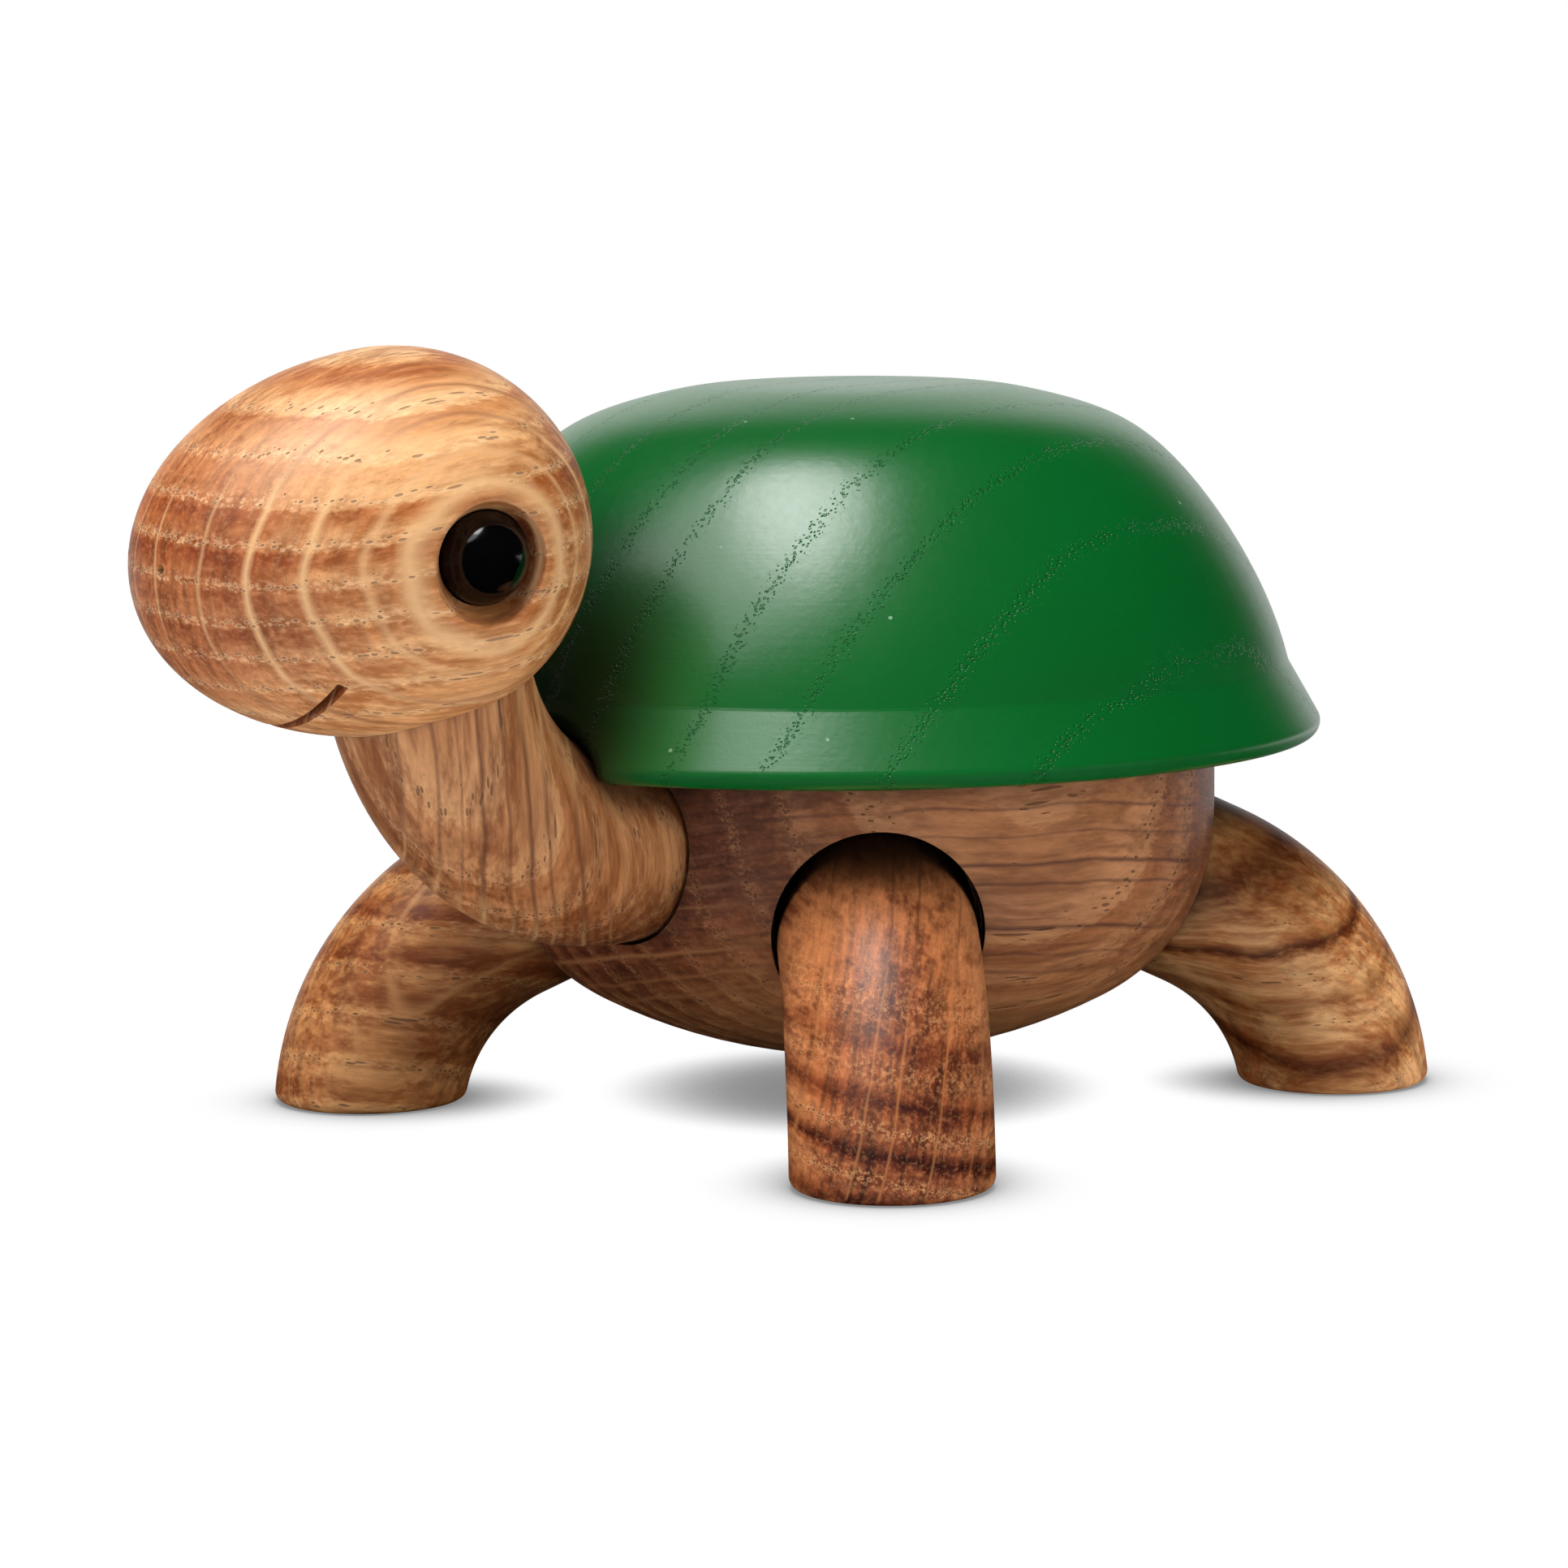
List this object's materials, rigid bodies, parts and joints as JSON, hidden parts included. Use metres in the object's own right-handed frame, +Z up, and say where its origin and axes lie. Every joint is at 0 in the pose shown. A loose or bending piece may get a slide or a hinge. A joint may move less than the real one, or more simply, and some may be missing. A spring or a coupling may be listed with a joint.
{
  "type": "turtle figurine",
  "caption": "Turned oak turtle with a green painted dome shell, bent round legs that swivel in their sockets and an egg-shaped head that turns on its neck.",
  "frame": {"origin": "on the floor, under the middle of the figure's bounding box", "axes": "-Y ahead, the way the body faces; +X to the turtle's left; +Z up"},
  "size_m": [0.0862, 0.1234, 0.0715],
  "materials": {
    "shell_paint": "satin paint over open-grained oak",
    "body_oak": "smoked and oiled oak",
    "neck_oak": "oiled oak",
    "head_oak": "oiled oak",
    "front_left_oak": "dark oiled oak",
    "front_right_oak": "oiled oak",
    "rear_left_oak": "oiled oak",
    "rear_right_oak": "oiled oak",
    "dowel_beech": "plain beech",
    "eye_black": "polished black",
    "pivot_steel": "zinc plated"
  },
  "bodies": {
    "torso": {"body": "body_oak", "shell": "shell_paint", "neck": "neck_oak", "neck_dowel": "dowel_beech", "head_dowel": "dowel_beech", "front_left_leg_washer": "pivot_steel", "front_right_leg_washer": "pivot_steel", "rear_left_leg_washer": "pivot_steel", "rear_right_leg_washer": "pivot_steel"},
    "head_assembly": {"head": "head_oak", "left_eye": "eye_black", "right_eye": "eye_black"},
    "front_left_leg_assembly": {"front_left_leg": "front_left_oak", "front_left_leg_screw": "pivot_steel", "front_left_leg_spring": "pivot_steel"},
    "front_right_leg_assembly": {"front_right_leg": "front_right_oak", "front_right_leg_screw": "pivot_steel", "front_right_leg_spring": "pivot_steel"},
    "rear_left_leg_assembly": {"rear_left_leg": "rear_left_oak", "rear_left_leg_screw": "pivot_steel", "rear_left_leg_spring": "pivot_steel"},
    "rear_right_leg_assembly": {"rear_right_leg": "rear_right_oak", "rear_right_leg_screw": "pivot_steel", "rear_right_leg_spring": "pivot_steel"}
  },
  "joints": [
    {"name": "head_swivel", "type": "hinge", "parent": "torso", "child": "head_assembly", "pos_m": [0, -0.03626, 0.04384], "axis": [0, -0.2957, 0.9553], "continuous": true},
    {"name": "front_left_leg_swivel", "type": "hinge", "parent": "torso", "child": "front_left_leg_assembly", "pos_m": [0.02249, -0.00385, 0.0181], "axis": [0.6409, -0.6409, -0.4226], "continuous": true},
    {"name": "front_right_leg_swivel", "type": "hinge", "parent": "torso", "child": "front_right_leg_assembly", "pos_m": [-0.02249, -0.00385, 0.0181], "axis": [-0.6409, -0.6409, -0.4226], "continuous": true},
    {"name": "rear_left_leg_swivel", "type": "hinge", "parent": "torso", "child": "rear_left_leg_assembly", "pos_m": [0.02249, 0.04114, 0.0181], "axis": [0.6409, 0.6409, -0.4226], "continuous": true},
    {"name": "rear_right_leg_swivel", "type": "hinge", "parent": "torso", "child": "rear_right_leg_assembly", "pos_m": [-0.02249, 0.04114, 0.0181], "axis": [-0.6409, 0.6409, -0.4226], "continuous": true}
  ]
}
